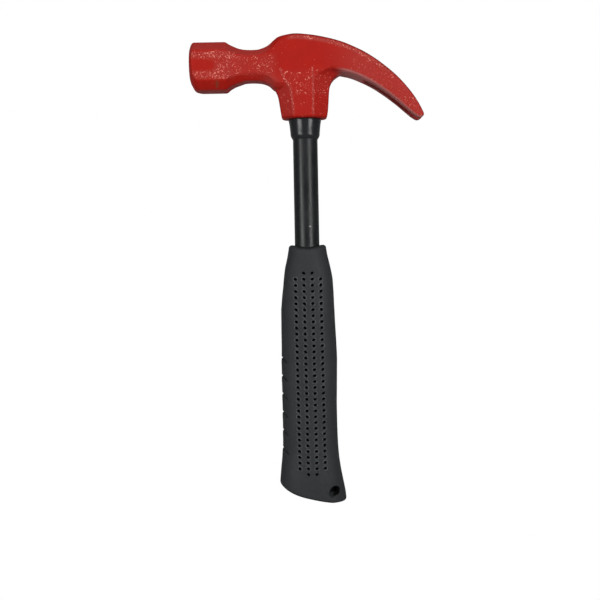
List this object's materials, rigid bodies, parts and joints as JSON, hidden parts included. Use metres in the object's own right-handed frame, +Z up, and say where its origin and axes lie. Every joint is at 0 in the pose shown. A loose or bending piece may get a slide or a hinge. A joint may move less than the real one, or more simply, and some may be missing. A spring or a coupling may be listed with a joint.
{
  "type": "claw hammer",
  "caption": "Claw hammer with forged red head, round-cornered striking face, split curved claw, black tubular steel handle and moulded rubber grip with hanging hole",
  "frame": {"origin": "on the handle's centre line, level with the lowest point of the butt", "axes": "+Z runs up the handle to the head, +X points from the striking face towards the claw tips, +Y is across the thickness of the head, through one cheek"},
  "size_m": [0.1415, 0.028, 0.2825],
  "materials": {
    "head_paint": "textured red paint on forged steel, slightly glossy, with bright grain",
    "collar_plastic": "glossy black moulded plastic",
    "tube_paint": "satin black paint on steel tube",
    "plug_steel": "bare turned steel",
    "plug_plastic": "dark matte plastic",
    "grip_rubber": "charcoal matte rubber"
  },
  "bodies": {
    "root": {"claw_head": "head_paint", "neck_collar": "collar_plastic", "handle_tube": "tube_paint", "expander_plug": "plug_steel", "tube_end_plug": "plug_plastic", "grip": "grip_rubber"}
  },
  "joints": []
}
